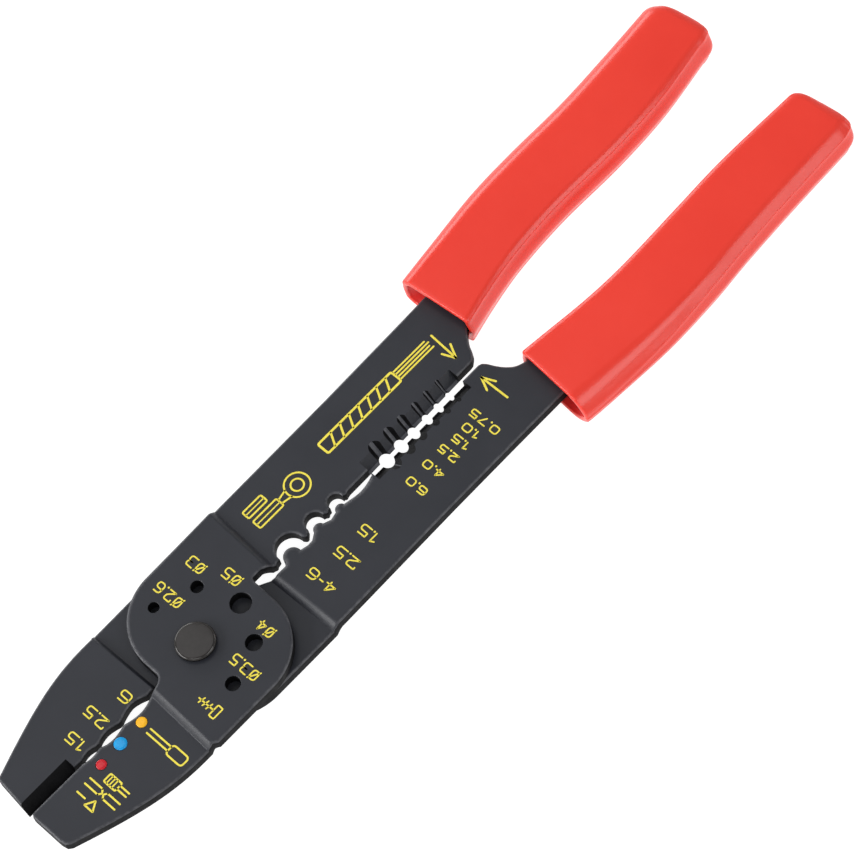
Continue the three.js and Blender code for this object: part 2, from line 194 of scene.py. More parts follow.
def front_outline():
    inner, outer = arm_sides(LEFT_GRIP, -1, 103, ARM_END)
    return [
        # nose jaw and pivot zone, up to the relief slot
        *vec([(0.3, -50.0), (0.5, -50.4), (1.1, -50.8), (9.3, -50.8), (10.9, -50.5)]),
        *reversed(nose_outside(0.55)),
        *vec([(20.0, -12.9)]),
        *pivot_upper_corner(),
        *vec([(-1.2, 18.6), (-1.65, 19.0), (-1.65, 21.4), (-1.2, 22.3)]),
        # bare-terminal notches with rounded lips, then the stripping edge
        *arc(-1.05, 24.65, 0.6, -45, 60, 8),
        *arc(-1.1, 29.7, 3.45, 272, 88, 40),
        *arc(-0.85, 34.0, 0.65, -60, 60, 8),
        *arc(-1.35, 37.6, 2.3, 274, 86, 34),
        *arc(-1.3, 40.95, 0.6, -60, 60, 8),
        *arc(-1.25, 44.0, 1.85, 275, 80, 30),
        *arc(-1.25, 46.7, 0.55, -60, 40, 8),
        *vec([(-1.0, 47.8), (-1.05, 54.0), (-1.78, 83.2), (-1.82, 87.2)]),
        *smooth(
            [(-1.95, 88.0), (-3.2, 89.55), (-5.0, 90.5), (-6.8, 91.7), (-8.1, 92.9), (-9.0, 94.2), (-10.3, 97.0)],
            30,
        ),
        # the arm inside the grip, and back down its outer edge
        *inner,
        *vec([(-17.6, ARM_END + 2.2), (-23.6, ARM_END + 2.2)]),
        *reversed(outer),
        *vec([(-21.4, 96), (-21.1, 86), (-20.5, 60), (-20.1, 26), (-19.9, 18)]),
        # shoulder and insulated-terminal notches
        *reversed(pivot_lower_corner()),
        *smooth([(-1.7, -10.65), (-0.8, -10.9), (-0.2, -11.5), (0.3, -12.5), (0.5, -13.5), (0.45, -14.4)], 16),
        *smooth([(0.6, -15.2), (1.2, -17.0), (1.45, -19.0), (1.2, -21.2), (0.7, -23.0)], 18),
        *smooth([(0.75, -23.6), (1.1, -25.2), (1.3, -26.9), (1.1, -28.7), (0.5, -30.2)], 18),
        *smooth([(0.5, -30.8), (0.7, -31.7), (0.8, -32.8), (0.7, -33.9), (0.35, -35.2)], 12),
    ]


def back_outline():
    inner, outer = arm_sides(RIGHT_GRIP, 1, 104, ARM_END)
    return [
        # cutter and insulated-terminal notches
        *vec([(-0.66, -50.9), (-0.45, CUTTER_FROM), (-0.35, -35.4)]),
        *smooth([(-0.35, -34.9), (-0.65, -33.9), (-0.8, -32.8), (-0.65, -31.6), (-0.3, -30.6)], 12),
        *smooth([(-0.3, -29.8), (-0.8, -28.6), (-1.05, -26.9), (-0.8, -25.2), (-0.35, -23.7)], 16),
        *smooth([(-0.35, -23.0), (-0.95, -21.4), (-1.45, -19.0), (-1.05, -17.0), (-0.3, -15.2)], 18),
        *smooth(
            [(-0.35, -14.4), (-0.3, -13.2), (-0.3, -12.2), (0.2, -11.2), (1.0, -10.75), (1.9, -10.65)],
            16,
        ),
        # pivot zone and arm
        *mirrored(pivot_lower_corner()),
        *vec([(19.7, 18), (19.7, 26), (19.2, 60), (19.1, 80), (19.1, 97)]),
        *outer,
        *vec([(17.6, ARM_END + 2.2), (12.2, ARM_END + 2.2)]),
        *reversed(inner),
        *smooth(
            [(7.8, 98.4), (7.35, 96.2), (6.4, 93.5), (4.8, 91.8), (2.9, 90.6), (1.1, 89.75), (0.1, 89.0)],
            30,
        ),
        # stripping edge, crimping bumps and relief slot
        *vec([(-0.2, 88.2), (-0.2, 83.2), (-0.1, 54.0), (0.45, 53.6)]),
        *smooth([(0.5, 53.2), (1.0, 51.2), (1.2, 49.4), (1.1, 47.9)], 14),
        *arc(0.85, 43.55, 1.35, 105, 255, 24),
        *vec([(0.95, 40.3)]),
        *arc(0.65, 37.1, 1.5, 105, 255, 24),
        *vec([(1.3, 34.0), (1.35, 32.6)]),
        *arc(0.7, 28.65, 2.2, 85, 265, 30),
        *vec([(1.1, 25.9), (1.1, 22.6), (0.1, 20.9), (-0.9, 19.1), (-1.3, 18.5)]),
        # pivot zone and the nose jaw's outer edge
        *reversed(mirrored(pivot_upper_corner())),
        *vec([(-19.8, -12.9)]),
        *mirrored(nose_outside(0.1)),
        *vec([(-10.5, -49.9)]),
    ]


# ---------- making objects ----------
def new_object(name, bm):
    """An object from a mesh drawn in millimetres."""
    bmesh.ops.recalc_face_normals(bm, faces=bm.faces)
    mesh = bpy.data.meshes.new(name)
    bm.to_mesh(mesh)
    bm.free()
    mesh.transform(Matrix.Scale(MM, 4))
    made = bpy.data.objects.new(name, mesh)
    bpy.context.scene.collection.objects.link(made)
    return made


def shade(made, sharp_angle, weighted):
    made.data.shade_smooth()
    made.data.set_sharp_from_angle(angle=math.radians(sharp_angle))
    if weighted:
        normals = made.modifiers.new("weighted_normals", "WEIGHTED_NORMAL")
        normals.keep_sharp = True
        normals.weight = 100


def join_loops(bm, loops):
    """Quads between neighbouring closed loops of vertices."""
    for low, high in zip(loops, loops[1:]):
        n = len(low)
        for i in range(n):
            j = (i + 1) % n
            bm.faces.new((low[i], low[j], high[j], high[i]))


def lathe(bm, profile, x, y, segments=64):
    """Turns a profile of (radius, z) about the vertical through x, y. Points at radius 0 close it."""
    loops = []
    for radius, z in profile:
        if radius < 1e-6:
            loops.append([bm.verts.new((x, y, z))])
            continue
        angles = [2 * math.pi * k / segments for k in range(segments)]
        ring = [(x + radius * math.cos(a), y + radius * math.sin(a), z) for a in angles]
        loops.append([bm.verts.new(p) for p in ring])
    for low, high in zip(loops, loops[1:]):
        for i in range(segments):
            j = (i + 1) % segments
            corner = [low[i % len(low)], low[j % len(low)], high[j % len(high)], high[i % len(high)]]
            bm.faces.new(list(dict.fromkeys(corner)))


def extrude_section(bm, section, direction):
    """A closed prism: a flat loop of 3-D points pushed along a vector."""
    low = [bm.verts.new(p) for p in section]
    high = [bm.verts.new(Vector(p) + Vector(direction)) for p in section]
    join_loops(bm, [low, high])
    bm.faces.new(low)
    bm.faces.new(high)


def cut(made, tools):
    """Subtracts the tool objects from made and removes them."""
    group = bpy.data.collections.new("tools")
    bpy.context.scene.collection.children.link(group)
    for tool in tools:
        group.objects.link(tool)
    boolean = made.modifiers.new("cut", "BOOLEAN")
    boolean.operation = "DIFFERENCE"
    boolean.operand_type = "COLLECTION"
    boolean.collection = group
    boolean.solver = "MANIFOLD"
    bpy.context.view_layer.update()
    graph = bpy.context.evaluated_depsgraph_get()
    mesh = bpy.data.meshes.new_from_object(made.evaluated_get(graph))
    made.modifiers.clear()
    made.data = mesh
    for tool in tools:
        bpy.data.objects.remove(tool)
    bpy.data.collections.remove(group)


# ---------- the stamped plates ----------
def bend(s, low, high):
    """The rise of one bend: sharp `low` before the crease, soft where it meets the high side `high` after it."""
    t = min(max((s + low) / (low + high), 0.0), 1.0)
    return 1 - (1 - t) ** 1.6


def joggle_height(x, y, z, side, creases):
    """How far a point of the flat sheet, z from 0 to PLATE, is pressed up or down."""
    slant = math.radians(creases["slant"])
    along = y * math.cos(slant) - x * math.sin(slant)
    shift = -side * SETBACK * (2 * z / PLATE - 1)
    nose = bend(side * (along - creases["nose"] - shift), *creases["nose_run"])
    handle = bend(-side * (along - creases["handle"] + shift), *creases["handle_run"])
    if side > 0:
        return JOGGLE * min(nose, handle)
    return JOGGLE * (max(nose, handle) - 1)


LEAN = 32  # degrees at which a rolled edge's tight corner goes over into its gentle shoulder
ROLL_STEPS = 4  # rings in the tight corner, and again in the shoulder
UNDER_ROLL = 0.12  # the small break along a plate's lower edge
CREASE_CUTS, CREASE_STEP = 16, 0.11  # cuts across the sheet on each side of a crease, and their distance


def plate_rings(outline, roll):
    """Rings of (x, y, z, wear) round a flat plate, from the underside's rim over the rolled top edge; the last
    number is the share of rubbed wear and painted highlight.
    """
    rings = []
    for share, rise in ((1.0, 0.0), (0.3, 0.3), (0.0, 1.0)):
        ring = inset(outline, [UNDER_ROLL * share] * len(outline))
        rings.append([(p.x, p.y, UNDER_ROLL * rise, 0.0) for p in ring])
    rolls = [roll(p) for p in outline]
    lean = math.radians(LEAN)
    for k in range(2 * ROLL_STEPS + 1):
        turned = math.radians(90 - (90 - LEAN) * min(k / ROLL_STEPS, 1))
        leaned = math.radians(LEAN - LEAN * max((k - ROLL_STEPS) / ROLL_STEPS, 0))
        amounts = [
            tight * (1 - math.sin(turned)) + shoulder * (math.sin(lean) - math.sin(leaned))
            for tight, shoulder in rolls
        ]
        # most rubbed wear and painted highlight where the edge has turned half-way
        wear_and_highlight = math.sin(2 * (leaned if k >= ROLL_STEPS else turned))
        loop = []
        for p, (tight, shoulder) in zip(inset(outline, amounts), rolls):
            drop = tight * (math.cos(lean) - math.cos(turned)) + shoulder * (1 - math.cos(leaned))
            loop.append((p.x, p.y, PLATE - drop, wear_and_highlight))
        rings.append(loop)
    return rings


def plate(name, outline, side, creases, roll):
    """A blanked sheet with a rolled top edge and a joggle on either side of its pivot zone.

    `roll` gives a point's two radii: the tight corner's and the shoulder's."""
    bm = bmesh.new()
    # each vertex carries its share of rubbed wear and painted highlight
    wear_and_highlight = bm.verts.layers.float.new("edge_wear_and_highlight")
    loops = []
    for ring in plate_rings(outline, roll):
        loop = []
        for x, y, z, worn_and_highlight in ring:
            v = bm.verts.new((x, y, z))
            v[wear_and_highlight] = worn_and_highlight
            loop.append(v)
        loops.append(loop)
    join_loops(bm, loops)
    for loop, flip in ((loops[0], True), (loops[-1], False)):
        flat = [Vector((v.co.x, v.co.y, 0)) for v in loop]
        for triangle in geometry.tessellate_polygon([flat]):
            corners = [loop[i] for i in triangle]
            bm.faces.new(corners[::-1] if flip else corners)
    slant = math.radians(creases["slant"])
    normal = Vector((-math.sin(slant), math.cos(slant), 0))
    for crease in ("nose", "handle"):
        for k in range(-CREASE_CUTS, CREASE_CUTS + 1):
            at = creases[crease] + k * CREASE_STEP
            everything = bm.verts[:] + bm.edges[:] + bm.faces[:]
            bmesh.ops.bisect_plane(bm, geom=everything, plane_co=normal * at, plane_no=normal, dist=1e-5)
    for v in bm.verts:
        v.co.z += BACK_FACE + joggle_height(v.co.x, v.co.y, v.co.z, side, creases)
    return new_object(name, bm)


def hole_tool(x, y, radius, chamfer_top, chamfer_bottom, top):
    """A drill through one thickness of sheet, whose upper face is at `top`, with a chamfer at each mouth."""
    bottom = top - PLATE
    bm = bmesh.new()
    profile = [
        (0, bottom - 1),
        (radius + chamfer_bottom + 1, bottom - 1),
        (radius, bottom + chamfer_bottom),
        (radius, top - chamfer_top),
        (radius + chamfer_top + 1, top + 1),
        (0, top + 1),
    ]
    lathe(bm, profile, x, y, 48)
    return new_object("tool", bm)


def screw_hole_tools(top, angle, share, chamfer):
    """Drills for the screw holes, turned by an angle about the pivot and bored to a share of the screw size."""
    turn = Matrix.Rotation(math.radians(angle), 2)
    tools = []
    for size, x, y in SCREW_HOLES:
        at = turn @ Vector((x, y))
        tools.append(hole_tool(at.x, at.y, size / 2 * share, chamfer, 0.02, top))
    return tools


def strip_tools(away, edge_at, slant):
    """The ground bevel of one stripping blade and its inclined round notches."""
    low, above = BACK_FACE, FACE + 3
    edge = edge_at(STRIP_FROM)
    section = [(-4, low + 0.25), (0, low + 0.25), (0.7, low + 0.45), (2.65, FACE), (2.65, above), (-4, above)]
    turn = Matrix.Rotation(math.radians(slant), 3, "Z")
    base = Vector((edge, STRIP_FROM, 0))
    bm = bmesh.new()
    loop = [base + Vector((x * away, 0, z)) for x, z in section]
    extrude_section(bm, loop, turn @ Vector((0, STRIP_TO - STRIP_FROM, 0)))
    tools = [new_object("tool", bm)]
    lean = math.atan(2.85 / 3.0)  # the notches run up the bevel, leaning a little more than it does
    for y, radius, depth in STRIP_NOTCHES:
        bm = bmesh.new()
        lathe(bm, [(0, -8), (radius, -8), (radius, 8), (0, 8)], 0, 0, 40)
        bmesh.ops.rotate(bm, verts=bm.verts, matrix=Matrix.Rotation(away * lean, 3, "Y"))
        x = edge_at(y) + away * (depth - radius / math.cos(lean))
        bmesh.ops.translate(bm, verts=bm.verts, vec=(x, y, low))
        tools.append(new_object("tool", bm))
    return tools


def front_strip_edge(y):
    """x of the front plate's stripping edge, which draws back by 0.73 over its 29.2 mm."""
    return -1.05 - (y - STRIP_FROM) * 0.73 / 29.2


def front_plate():
    def roll(p):
        # softer along the nose's notches and the pivot zone's lower corner
        on_nose_inside = p.x < 2.5 and -37 < p.y < -14.5
        on_pivot_left = p.x < -1 and -12 < p.y < 6
        return (0.45, 1.3) if on_nose_inside or on_pivot_left else (0.45, 0.8)

    creases = {
        "nose": -13.9, "nose_run": (0.5, 1.2), "handle": 23.3, "handle_run": (0.5, 1.2), "slant": -2.6,
    }
    made = plate("front_plate_shell", front_outline(), 1, creases, roll)
    tools = [
        hole_tool(0, 0, PIVOT_BORE, 0.1, 0.1, PIVOT_FACE),
        *screw_hole_tools(PIVOT_FACE, 0, 1, 0.1),
        *strip_tools(-1, front_strip_edge, 1.5),
    ]
    for _, x, y, radius in DOTS:
        bm = bmesh.new()
        low, high = FACE - 0.5, FACE + 1
        wide, wider = radius + 0.12, radius + 0.5
        dimple = [(0, low), (wide, low), (wide, FACE - 0.1), (wider, FACE + 0.3), (wider, high), (0, high)]
        lathe(bm, dimple, x, y, 40)
        tools.append(new_object("tool", bm))
    cut(made, tools)
    return made


def back_plate():
    def roll(p):
        # broadly rounded over the crimping bumps
        on_bumps = p.x < 2.5 and 24.5 < p.y < 53
        return (0.35, 1.9) if on_bumps else (0.45, 0.8)

    creases = {
        "nose": -13.1, "nose_run": (0.3, 0.6), "handle": 22.4, "handle_run": (0.6, 1.4), "slant": 1.1,
    }
    made = plate("back_plate_shell", back_outline(), -1, creases, roll)
    cutter_bevel = bmesh.new()
    low, above = BACK_FACE + 0.2, FACE + 1
    section = [(0.6, low), (0.6, above), (-2.6, above), (-2.6, FACE), (0, low)]
    extrude_section(cutter_bevel, [(x - 0.5, -56, z) for x, z in section], (0, CUTTER_FROM + 56, 0))
    tools = [
        hole_tool(0, 0, PIVOT_BORE, 0.1, 0.1, FACE - JOGGLE),
        *screw_hole_tools(FACE - JOGGLE, OPEN_ANGLE, TAPPED, 0.02),
        *strip_tools(1, lambda y: -0.1, 0),
        new_object("tool", cutter_bevel),
    ]
    cut(made, tools)
    return made


# ---------- rivet and dots ----------
def arc_angles(steps):
    """Angles of a quarter circle."""
    return [math.pi / 2 * k / steps for k in range(steps + 1)]


def rivet():
    """The pivot's rivet: a round-edged lower head, the shank, and an upper head with an undercut foot."""
    top, bottom = PIVOT_FACE + 0.2, FACE - JOGGLE - PLATE - 0.2
    head, tail, edge = 4.65, 5.0, 0.7
    crown = MID + 4.6
    profile = [(0, 0.0)]
    profile += [(tail - edge + edge * math.sin(a), edge - edge * math.cos(a)) for a in arc_angles(8)]
    profile += [(tail, bottom - 0.08), (tail - 0.08, bottom), (3.0, bottom), (3.0, top)]
    profile += [(head - 0.45, top), (head - 0.4, top + 0.3), (head, top + 0.7)]
    rim = crown - 0.1 - edge
    profile += [(head - edge + edge * math.cos(a), rim + edge * math.sin(a)) for a in arc_angles(8)]
    profile += [(r, crown - 0.1 * (r / (head - edge)) ** 2) for r in (3.4, 2.6, 1.8, 1.0)]
    profile += [(0, crown)]
    bm = bmesh.new()
    lathe(bm, profile, 0, 0, 96)
    return new_object("pivot_rivet_turned", bm)


def dot(name, x, y, radius):
    """A drop of enamel that fills its dimple and stands a little proud."""
    bm = bmesh.new()
    profile = [(0, FACE - 0.38), (radius, FACE - 0.38), (radius + 0.05, FACE - 0.1)]
    profile += [(radius * math.cos(a) * 1.04, FACE - 0.02 + 0.2 * math.sin(a)) for a in arc_angles(10)[:-1]]
    profile += [(0, FACE + 0.18)]
    lathe(bm, profile, x, y, 48)
    return new_object(name + "_enamel", bm)


# ---------- grips ----------
# How many points each part of a grip's section has.
SECTION = {"top": 8, "band": 7, "facet": 3, "corner": 5, "side": 9}


def section_side(half, inside, width, slope, radius, bulge, soft=1.0):
    """Half of a grip's skin at one side, from mid height up to the flat top.

    Distances are inwards from the widest line. A bulged side runs up to a tight corner of `radius`,
    then a band, `width` wide, that leaves the top at 0 degrees and meets the corner at `slope`;
    `soft` is the rounded share of the band, and the rest of it is straight."""
    slope = math.radians(slope)
    radius = max(radius - inside * 0.2, 0.12)
    top = half - inside
    width = max(width - inside * 0.5, 0.15)
    sweep = soft * width / math.sin(slope)
    facet = (1 - soft) * width
    drop = sweep * (1 - math.cos(slope)) + facet * math.tan(slope)
    corner_z = top - drop - radius * math.cos(slope)
    centre = inside + bulge + radius
    line = []
    n = SECTION["side"]
    for k in range(n):
        t = k / n
        line.append((inside + bulge * t * t * (3 - 2 * t), corner_z * t))
    n = SECTION["corner"]
    for k in range(n):
        a = math.pi / 2 + (slope - math.pi / 2) * k / n
        line.append((centre - radius * math.sin(a), corner_z + radius * math.cos(a)))
    start = centre - radius * math.sin(slope)
    n = SECTION["facet"]
    for k in range(n):
        t = k / n
        line.append((start + facet * t, top - drop + facet * t * math.tan(slope)))
    n = SECTION["band"]
    for k in range(n + 1):
        a = slope * (1 - k / n)
        line.append((start + width - sweep * math.sin(a), top - sweep + sweep * math.cos(a)))
    return line


def section_loop(a, b, half, inside, inner, outer, crown=0.2):
    """One closed cross-section of a grip, from its inner point a to its outer point b."""
    along = b - a
    width = along.length
    along.normalize()
    left = section_side(half, inside, **inner)
    right = [(width - w, z) for w, z in section_side(half, inside, **outer)]
    start, end = left[-1], right[-1]
    n = SECTION["top"]
    rise = end[1] - start[1]
    across = [(start[0] + (end[0] - start[0]) * k / n, start[1] + rise * k / n) for k in range(1, n)]
    upper = left + across + right[::-1]
    lower = [(w, -z) for w, z in reversed(upper[1:-1])]
    loop = []
    for w, z in upper + lower:
        u = min(max(w / width, 0), 1)
        p = a + along * w
        loop.append((p.x, p.y, MID + z - crown * (2 * u - 1) ** 2 * z / half))
    return loop


def between(low, high, t):
    """One section side's numbers, a share t of the way to another's."""
    t = min(max(t, 0.0), 1.0)
    t = t * t * (3 - 2 * t)
    return {key: low[key] + (high[key] - low[key]) * t for key in low}


def grip(name, shape, away):
    """A hollow grip: the blind slot round the steel, the pocket, the rolled mouth, the skin and the tip."""
    inner, outer = smooth(shape["inner"], 110), smooth(shape["outer"], 110)
    mouth_y = shape["inner"][0][1]
    tip = shape["tip"]

    def skin(a, b, lift, inside=0.0):
        """The section `lift` past the mouth, moved `inside` the skin."""
        t = lift / shape["settle"]
        sides = [between(shape["mouth_" + which], shape["body_" + which], t) for which in ("inner", "outer")]
        return section_loop(a, b, GRIP_HALF, inside, *sides)

    def at_lift(lift, inside):
        ends = []
        for line in (shape["inner"], shape["outer"]):
            y = line[0][1] + lift
            ends.append(Vector((side_x(line, y), y)))
        return skin(*ends, lift, inside)

    # the blind slot round the arm's end
    slack = 0.3
    tight = {"width": 0.2, "slope": 80, "radius": 0.2, "bulge": 0.0}
    arm_inner, arm_outer = arm_sides(shape, away, 104.0, 170.0, slack)
    loops = [
        section_loop(a, b, PLATE / 2 + slack, 0.0, tight, tight, 0.0)
        for a, b in reversed(list(zip(arm_inner, arm_outer)))
    ]

    # the pocket, which opens from the slot to the mouth
    depth, rim = shape["funnel"], 0.55
    throat = at_lift(rim, GRIP_WALL)
    slot_end = loops[-1]
    for k in range(8):
        t = 1 - k / 8
        share = t * t * (3 - 2 * t)
        lift = depth * t * t
        loops.append([
            (px + (qx - px) * share, py + lift, pz + (qz - pz) * share)
            for (px, py, pz), (qx, _, qz) in zip(throat, slot_end)
        ])
    pocket = len(loops)

    # the rolled mouth, then the skin
    for k in range(1, 8):
        angle = math.pi * k / 8
        inside = GRIP_WALL / 2 + GRIP_WALL / 2 * math.cos(angle)
        loops.append(at_lift(rim - rim * math.sin(angle), inside))
    for a, b in zip(inner, outer):
        lift = a.y - mouth_y
        if lift >= rim:
            loops.append(skin(a, b, lift))

    # the tip: its corners are rounded in plan, and its edges drop and tighten towards the end
    steps = 14
    for k in range(1, steps + 1):
        t = k / steps
        pair = []
        for end, radius, sign in ((inner[-1], shape["round"][0], away), (outer[-1], shape["round"][1], -away)):
            corner, last = Vector((end.x, tip)), Vector((end.x + sign * radius, tip))
            pair.append(end * (1 - t) ** 2 + corner * 2 * t * (1 - t) + last * t * t)
        gap = max(tip - (pair[0].y + pair[1].y) / 2, 0.0)
        drop = 0.9 * max(1 - gap / 2.6, 0.0) ** 2
        shrink = min(1.0, 0.25 + gap / 2.5)
        sides = [
            dict(side, bulge=side["bulge"] * shrink, width=side["width"] * shrink)
            for side in (shape["body_inner"], shape["body_outer"])
        ]
        loops.append(section_loop(*pair, GRIP_HALF - drop, 0.0, *sides))
    for inside, push in ((0.12, 0.12), (0.4, 0.2)):
        a, b = (end + Vector((0, push)) for end in pair)
        loops.append(section_loop(a, b, GRIP_HALF - drop, inside, *sides))

    bm = bmesh.new()
    lining = bm.faces.layers.int.new("inside")
    rings = [[bm.verts.new(p) for p in loop] for loop in loops]
    join_loops(bm, rings)
    for face in list(bm.faces)[: pocket * len(rings[0])]:
        face[lining] = 1
    bm.faces.new(rings[0])
    bm.faces.new(rings[-1])
    settle_skin(bm, shape)
    return new_object(name, bm)


def settle_skin(bm, shape):
    """The moulding's slight waviness, and the shallow saddle across a grip's tip."""
    left = min(shape["inner"][-1][0], shape["outer"][-1][0])
    right = max(shape["inner"][-1][0], shape["outer"][-1][0])
    for v in bm.verts:
        wave = 0.5 + 0.5 * noise.noise(Vector((v.co.x / 14, v.co.y / 14, v.co.z / 14)))
        v.co.z -= 0.05 * wave * (v.co.z - MID) / 5
        near_tip = min(max((v.co.y - shape["tip"] + 9) / 9, 0), 1)
        u = min(max((v.co.x - left) / (right - left), 0), 1)
        v.co.y += (1.5 * u * u - 0.75) * near_tip * near_tip


# ---------- printed marks ----------
# Each glyph is strokes of (across, up) points in a unit box; a third number is that corner's roundness.
GLYPHS = {
    "0": [([(0, 0), (1, 0), (1, 1), (0, 1)], True)],
    "1": [([(0.12, 0.8), (0.5, 1.0, 0.02), (0.5, 0)], False)],
    "2": [([(0, 0.78), (0, 1, 0.3), (1, 1, 0.3), (1, 0.56, 0.25), (0.02, 0, 0.02), (1, 0)], False)],
    "3": [([(0, 1), (1, 1, 0.25), (1, 0.53, 0.2), (0.35, 0.53)], False),
          ([(0.35, 0.53), (1, 0.53, 0.2), (1, 0, 0.28), (0, 0)], False)],
    "4": [([(0.72, 0), (0.72, 1, 0.02), (0, 0.27, 0.02), (1.05, 0.27)], False)],
    "5": [([(0.93, 1), (0.06, 1, 0.03), (0.06, 0.58, 0.03), (1, 0.58, 0.28), (1, 0, 0.28), (0, 0)], False)],
    "6": [([(0.9, 1), (0, 1, 0.35), (0, 0), (1, 0), (1, 0.58), (0.03, 0.58)], False)],
    "7": [([(0, 1), (1, 1, 0.03), (0.35, 0)], False)],
    "-": [([(0.1, 0.5), (0.5, 0.5)], False)],
    "o": [([(0.04, 0.04, 0.5), (0.96, 0.04, 0.5), (0.96, 0.96, 0.5), (0.04, 0.96, 0.5)], True),
          ([(0, -0.04), (1, 1.04)], False)],
}
WIDTHS = {"1": 0.55, "-": 0.6}  # the narrow glyphs' share of the full width
PEN = 0.35  # line width of the numerals
SUNK, INK_THICK = 0.01, 0.025  # how far the ink starts below the steel's face, and its thickness


def round_corners(path, radii, closed):
    """A path with each corner drawn as a curve that starts its radius away."""
    made = []
    n, steps = len(path), 5
    for i, p in enumerate(path):
        if not closed and i in (0, n - 1):
            made.append(p)
            continue
        a, b = path[i - 1], path[(i + 1) % n]
        into, out = (a - p), (b - p)
        r = min(radii[i], into.length * 0.48, out.length * 0.48)
        start, end = p + into.normalized() * r, p + out.normalized() * r
        for k in range(steps + 1):
            t = k / steps
            made.append(start * (1 - t) ** 2 + p * 2 * t * (1 - t) + end * t * t)
    return made


def ribbon(bm, path, width, base, closed=False):
    """A flat painted line: a thin closed strip along a path of plane points."""
    n = len(path)
    left, right = [], []
    for i, p in enumerate(path):
        a = path[i - 1] if closed or i > 0 else p
        b = path[(i + 1) % n] if closed or i < n - 1 else p
        d0 = (p - a).normalized() if (p - a).length > 1e-6 else (b - p).normalized()
        d1 = (b - p).normalized() if (b - p).length > 1e-6 else d0
        n0, n1 = Vector((-d0.y, d0.x)), Vector((-d1.y, d1.x))
        m = (n0 + n1).normalized()
        reach = width / 2 / max(m.dot(n0), 0.5)
        left.append(p + m * reach)
        right.append(p - m * reach)
    bottom, top = base - SUNK, base - SUNK + INK_THICK
    (ll, lr), (hl, hr) = (
        [[bm.verts.new((p.x, p.y, z)) for p in side] for side in (left, right)] for z in (bottom, top)
    )
    for i in range(n if closed else n - 1):
        j = (i + 1) % n
        bm.faces.new((hr[i], hr[j], hl[j], hl[i]))
        bm.faces.new((lr[j], lr[i], ll[i], ll[j]))
        bm.faces.new((hl[i], hl[j], ll[j], ll[i]))
        bm.faces.new((hr[j], hr[i], lr[i], lr[j]))
    if closed:
        return
    for end, other in ((0, 1), (n - 1, n - 2)):
        out = (path[end] - path[other]).normalized()
        across = Vector((-out.y, out.x)) * width / 2
        first, last = (hl, hr) if (left[end] - path[end]).dot(across) > 0 else (hr, hl)
        first_low, last_low = (ll, lr) if first is hl else (lr, ll)
        round_high, round_low = [], []
        for k in range(1, 6):
            a = math.pi * k / 6
            p = path[end] + across * math.cos(a) + out * (width / 2) * math.sin(a)
            round_high.append(bm.verts.new((p.x, p.y, top)))
            round_low.append(bm.verts.new((p.x, p.y, bottom)))
        high = [first[end], *round_high, last[end]]
        low = [first_low[end], *round_low, last_low[end]]
        bm.faces.new(high)
        bm.faces.new(low[::-1])
        for i in range(len(high) - 1):
            bm.faces.new((high[i], high[i + 1], low[i + 1], low[i]))


def disc(bm, x, y, radius, base):
    """A painted dot."""
    low, high = base - SUNK, base - SUNK + INK_THICK
    lathe(bm, [(0, low), (radius, low), (radius, high), (0, high)], x, y, 16)


def label(bm, text, x, y, height, width, base):
    """Numerals that read towards -X and stand up towards -Y. x, y is where the first one's foot starts."""
    pen = x
    h, w = height - PEN, width - PEN
    for c in text:
        if c == ".":
            disc(bm, pen - 0.12, y - PEN / 2, PEN * 0.72, base)
            pen -= 0.7
            continue
        for path, closed in GLYPHS[c]:
            line = [Vector((pen - PEN / 2 - p[0] * w, y - PEN / 2 - p[1] * h)) for p in path]
            radii = [height * (p[2] if len(p) > 2 else 0.3) for p in path]
            ribbon(bm, round_corners(line, radii, closed), PEN, base, closed)
        pen -= width * WIDTHS.get(c, 1.0) + 0.42


def stroke(bm, points, base, width=0.42, closed=False, radius=0.3):
    ribbon(bm, round_corners(vec(points), [radius] * len(points), closed), width, base, closed)


# text, x, y, height, width
SCREW_SIZES = [
    ("o5", -2.7, 17.5, 2.8, 2.2),
    ("o3", -10.9, 14.4, 2.8, 2.1),
    ("o2.6", -8.9, 5.5, 2.8, 2.05),
    ("o4", 11.5, 13.5, 2.7, 2.0),
    ("o3.5", 16.0, 4.3, 2.8, 2.05),
]
WIRE_SIZES = [
    # stripping notches
    ("0.75", 14.8, 80.0, 2.1, 2.25),
    ("1.0", 12.4, 76.45, 2.1, 2.4),
    ("1.5", 12.5, 73.05, 2.1, 2.35),
    ("2.5", 12.5, 69.3, 2.1, 2.1),
    ("4.0", 12.8, 64.45, 2.1, 2.3),
    ("6.0", 12.8, 59.15, 2.1, 2.25),
    # bare-terminal bumps
    ("1.5", 12.6, 44.45, 2.7, 2.65),
    ("2.5", 13.4, 37.3, 2.7, 2.65),
    ("4-6", 13.7, 29.8, 2.7, 2.65),
    # insulated-terminal notches
    ("6", -2.1, -17.2, 2.75, 3.0),
    ("2.5", -2.0, -24.6, 2.75, 2.5),
    ("1.5", -1.7, -31.4, 2.75, 2.6),
]


